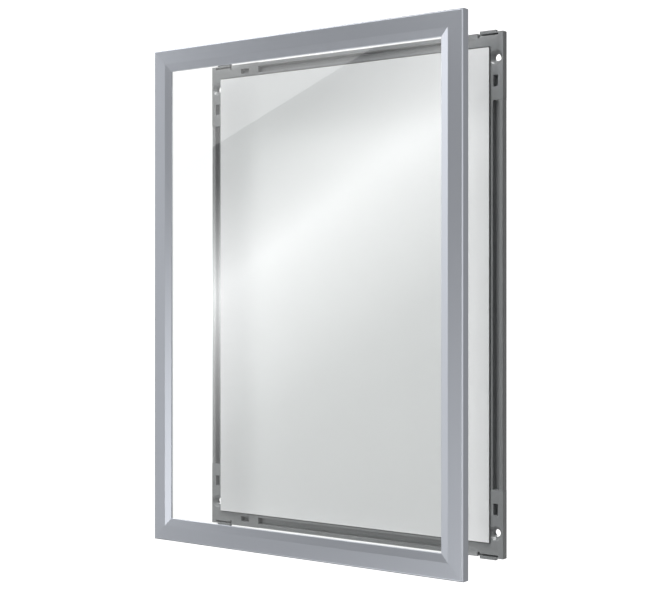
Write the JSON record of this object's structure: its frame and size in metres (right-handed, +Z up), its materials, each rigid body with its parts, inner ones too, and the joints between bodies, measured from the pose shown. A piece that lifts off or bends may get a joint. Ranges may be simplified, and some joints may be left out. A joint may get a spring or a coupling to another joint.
{
  "type": "poster frame",
  "caption": "Wall poster frame for a standard sheet: a mitred aluminium front frame with a clear cover that clips onto a rear tray holding the poster.",
  "frame": {"origin": "centre of the face that lies against the wall", "axes": "+X to the viewer's right, +Z up, +Y into the wall; the front faces -Y"},
  "size_m": [0.333, 0.0835, 0.457],
  "materials": {
    "front_aluminium": "satin, brushed lengthwise and anodised",
    "key_metal": "die-cast, matt",
    "screw_steel": "dark zinc-plated",
    "catch_plastic": "moulded, satin",
    "clear_sheet": "clear acrylic sheet, smooth",
    "tray_aluminium": "grey, satin",
    "corner_plastic": "moulded, grey, satin",
    "panel_plastic": "matt sheet",
    "backing_board": "matt",
    "poster_paper": "matt, blank"
  },
  "bodies": {
    "tray": {"tray_rail_top": "tray_aluminium", "tray_rail_bottom": "tray_aluminium", "tray_rail_left": "tray_aluminium", "tray_rail_right": "tray_aluminium", "tray_corner_top_left": "corner_plastic", "tray_corner_top_right": "corner_plastic", "tray_corner_bottom_left": "corner_plastic", "tray_corner_bottom_right": "corner_plastic", "back_panel": "panel_plastic", "backing_board": "backing_board", "poster_sheet": "poster_paper"},
    "front_frame": {"front_rail_top": "front_aluminium", "front_rail_bottom": "front_aluminium", "front_rail_left": "front_aluminium", "front_rail_right": "front_aluminium", "corner_key_top_left": "key_metal", "corner_key_top_right": "key_metal", "corner_key_bottom_left": "key_metal", "corner_key_bottom_right": "key_metal", "key_screw_top_start": "screw_steel", "key_screw_top_end": "screw_steel", "key_screw_right_start": "screw_steel", "key_screw_right_end": "screw_steel", "key_screw_bottom_start": "screw_steel", "key_screw_bottom_end": "screw_steel", "key_screw_left_start": "screw_steel", "key_screw_left_end": "screw_steel", "catch_top_start": "catch_plastic", "catch_top_end": "catch_plastic", "catch_right_start": "catch_plastic", "catch_right_end": "catch_plastic", "catch_bottom_start": "catch_plastic", "catch_bottom_end": "catch_plastic", "catch_left_start": "catch_plastic", "catch_left_end": "catch_plastic", "clear_cover": "clear_sheet"}
  },
  "joints": [
    {"name": "front_pull_off", "type": "slide", "parent": "tray", "child": "front_frame", "axis": [0, 1, 0], "range_m": [0, 0.0702]}
  ]
}
